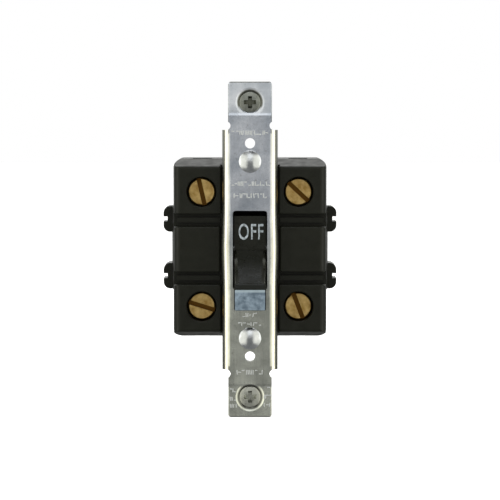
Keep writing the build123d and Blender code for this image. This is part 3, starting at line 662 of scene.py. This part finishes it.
def rivet(name, up, lo, hi):
    """One rivet: domed head with a small square edge, shank, and the flat roll at the back."""
    ball = crown_radius(rivet_head_r, rivet_rise)
    rings = [(lo.y + ball - math.sqrt(ball ** 2 - r ** 2), r)
             for r in (rivet_head_r * k / 24 for k in range(1, 24))]
    edge = lo.y + rivet_rise
    rings += [(edge - 0.03 * MM, rivet_head_r - 0.02 * MM), (edge + 0.03 * MM, rivet_head_r),
              (web_front, rivet_head_r), (web_front, rivet_r), (hi.y - roll_t, rivet_r),
              (hi.y - roll_t, roll_r), (hi.y - 0.1 * MM, roll_r), (hi.y, roll_r - 0.1 * MM),
              (hi.y, 1.2 * MM), (hi.y - 0.1 * MM, 1.1 * MM)]
    made = lathe(rings, 48, Vector((0, 0, up)), name)
    for face in made.polygons:
        domed = face.center.y < edge + 0.03 * MM
        face.use_smooth = domed or web_front + 0.05 * MM < face.center.y < hi.y - roll_t - 0.05 * MM
    made.materials.append(bright)
    return link_new(made, name)


lo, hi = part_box("housing_rivets")
for name, up in (("rivet_top", rivet_half_pitch), ("rivet_bottom", -rivet_half_pitch)):
    turned = rivet(name, up, lo, hi)
    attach(turned, "housing")
    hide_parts("housing_rivets")

screw_steel = threaded_zinc(seat_low.y)
for end in ("top", "bottom"):
    lo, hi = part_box("mounting_screw_" + end)
    screw = box_screw("box_screw_" + end, lo, hi)
    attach(screw, "box_screw_" + end)
    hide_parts("mounting_screw_" + end)


# ---- Current path ----------------------------------------------------------------
# Terminal strips are stamped from brass sheet, bridges from copper, and the contact
# buttons are silver alloy, welded on.
def sheet_metal(name, dull, clean, rough_low, rough_high):
    """Sheet metal, stamped: fine lines along its length and soft clouds of tarnish, so that it
    reads as old strip and not as castings."""
    made, tree = material(name)
    at = add(tree, "ShaderNodeTexCoord")
    grid = add(tree, "ShaderNodeMapping", {"Scale": (per(0.4545), per(6.25), per(6.25))}, {0: (at, "Object")})
    brush = add(tree, "ShaderNodeTexNoise", {"Scale": 1.0, "Detail": 3.0}, {0: (grid, 0)})
    cloud = add(tree, "ShaderNodeTexNoise", {"Scale": per(4.55), "Detail": 4.0}, {0: (at, "Object")})
    tone = add(tree, "ShaderNodeMix", {"data_type": "RGBA", 6: linear(dull), 7: linear(clean)},
               {0: (cloud, 0)})
    rough = add(tree, "ShaderNodeMapRange", {1: 0.3, 2: 0.7, 3: rough_low, 4: rough_high}, {0: (brush, 0)})
    bump = add(tree, "ShaderNodeBump", {"Strength": 0.2, "Distance": 0.03 * MM}, {"Height": (brush, 0)})
    metal = add(tree, "ShaderNodeBsdfPrincipled", {"Metallic": 1.0},
                {"Base Color": (tone, 2), "Roughness": (rough, 0), "Normal": (bump, 0)})
    add(tree, "ShaderNodeOutputMaterial", links={0: (metal, 0)})
    return made


brass_strip = sheet_metal("brass_strip_stamped", "#A98A4E", "#D9BC7C", 0.28, 0.42)
copper_strip = sheet_metal("copper_strip_stamped", "#A4613C", "#D58E62", 0.26, 0.40)
silver_button = sheet_metal("silver_alloy_buttons", "#BDB9AE", "#E9E6DD", 0.20, 0.34)
for name in nodes:
    if name.startswith("terminal_plate"):
        finish_node(name, brass_strip)
    if name.startswith(("bridge_left", "bridge_right")):
        finish_node(name, copper_strip)
    if name.startswith(("bridge_tips", "fixed_contact")):
        finish_node(name, silver_button)


# ---- Crossbar and fibre washers --------------------------------------------------
# The bar that carries the bridges is brown phenolic. The washers that keep the box
# screws in the strap are punched from red vulcanised fibre.
finish_node("crossbar", phenolic("brown_phenolic_moulded", "#3A1E10", "#54301C", 0.40, 0.58))
red_fibre = phenolic("vulcanised_fibre_punched", "#6E2A1E", "#8A3A2A", 0.62, 0.8)
for name in ("screw_retainer_top", "screw_retainer_bottom"):
    finish_node(name, red_fibre)


# ---- Return spring ---------------------------------------------------------------
# Music-wire compression spring behind the crossbar. It shortens as the toggle goes ON;
# here it is drawn as its own piece, an even helix fixed to the housing.
spring_wire_r = 0.35 * MM
spring_turns = 6
wire_round = 10
steps_per_turn = 28


def wound_spring(name, lo, hi, wire_r, turns):
    """A round-wire helix about Y that fills the box from lo to hi."""
    centre = (lo + hi) / 2
    mean_r = (hi.x - lo.x) / 2 - wire_r
    steps = steps_per_turn * turns
    bm = bmesh.new()
    rings = []
    for i in range(steps + 1):
        angle = 2 * math.pi * turns * i / steps
        y = lo.y + wire_r + (hi.y - lo.y - 2 * wire_r) * i / steps
        out = Vector((math.cos(angle), 0, -math.sin(angle)))
        at_wire = Vector((centre.x, y, centre.z)) + out * mean_r
        ring = []
        for k in range(wire_round):
            t = 2 * math.pi * k / wire_round
            rim_way = out * math.cos(t) + Vector((0, 1, 0)) * math.sin(t)
            ring.append(bm.verts.new(at_wire + rim_way * wire_r))
        rings.append(ring)
    for a, b in zip(rings, rings[1:]):
        for k in range(wire_round):
            bm.faces.new((a[k], a[(k + 1) % wire_round], b[(k + 1) % wire_round], b[k]))
    bm.faces.new(reversed(rings[0]))
    bm.faces.new(rings[-1])
    bmesh.ops.recalc_face_normals(bm, faces=bm.faces)
    mesh = bpy.data.meshes.new(name)
    bm.to_mesh(mesh)
    bm.free()
    for face in mesh.polygons:
        face.use_smooth = len(face.vertices) == 4
    mesh.materials.append(bright)
    return link_new(mesh, name)


lo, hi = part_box("return_spring")
spring = wound_spring("return_spring_coils", lo, hi, spring_wire_r, spring_turns)
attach(spring, "housing")
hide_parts("return_spring")
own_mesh(spring)
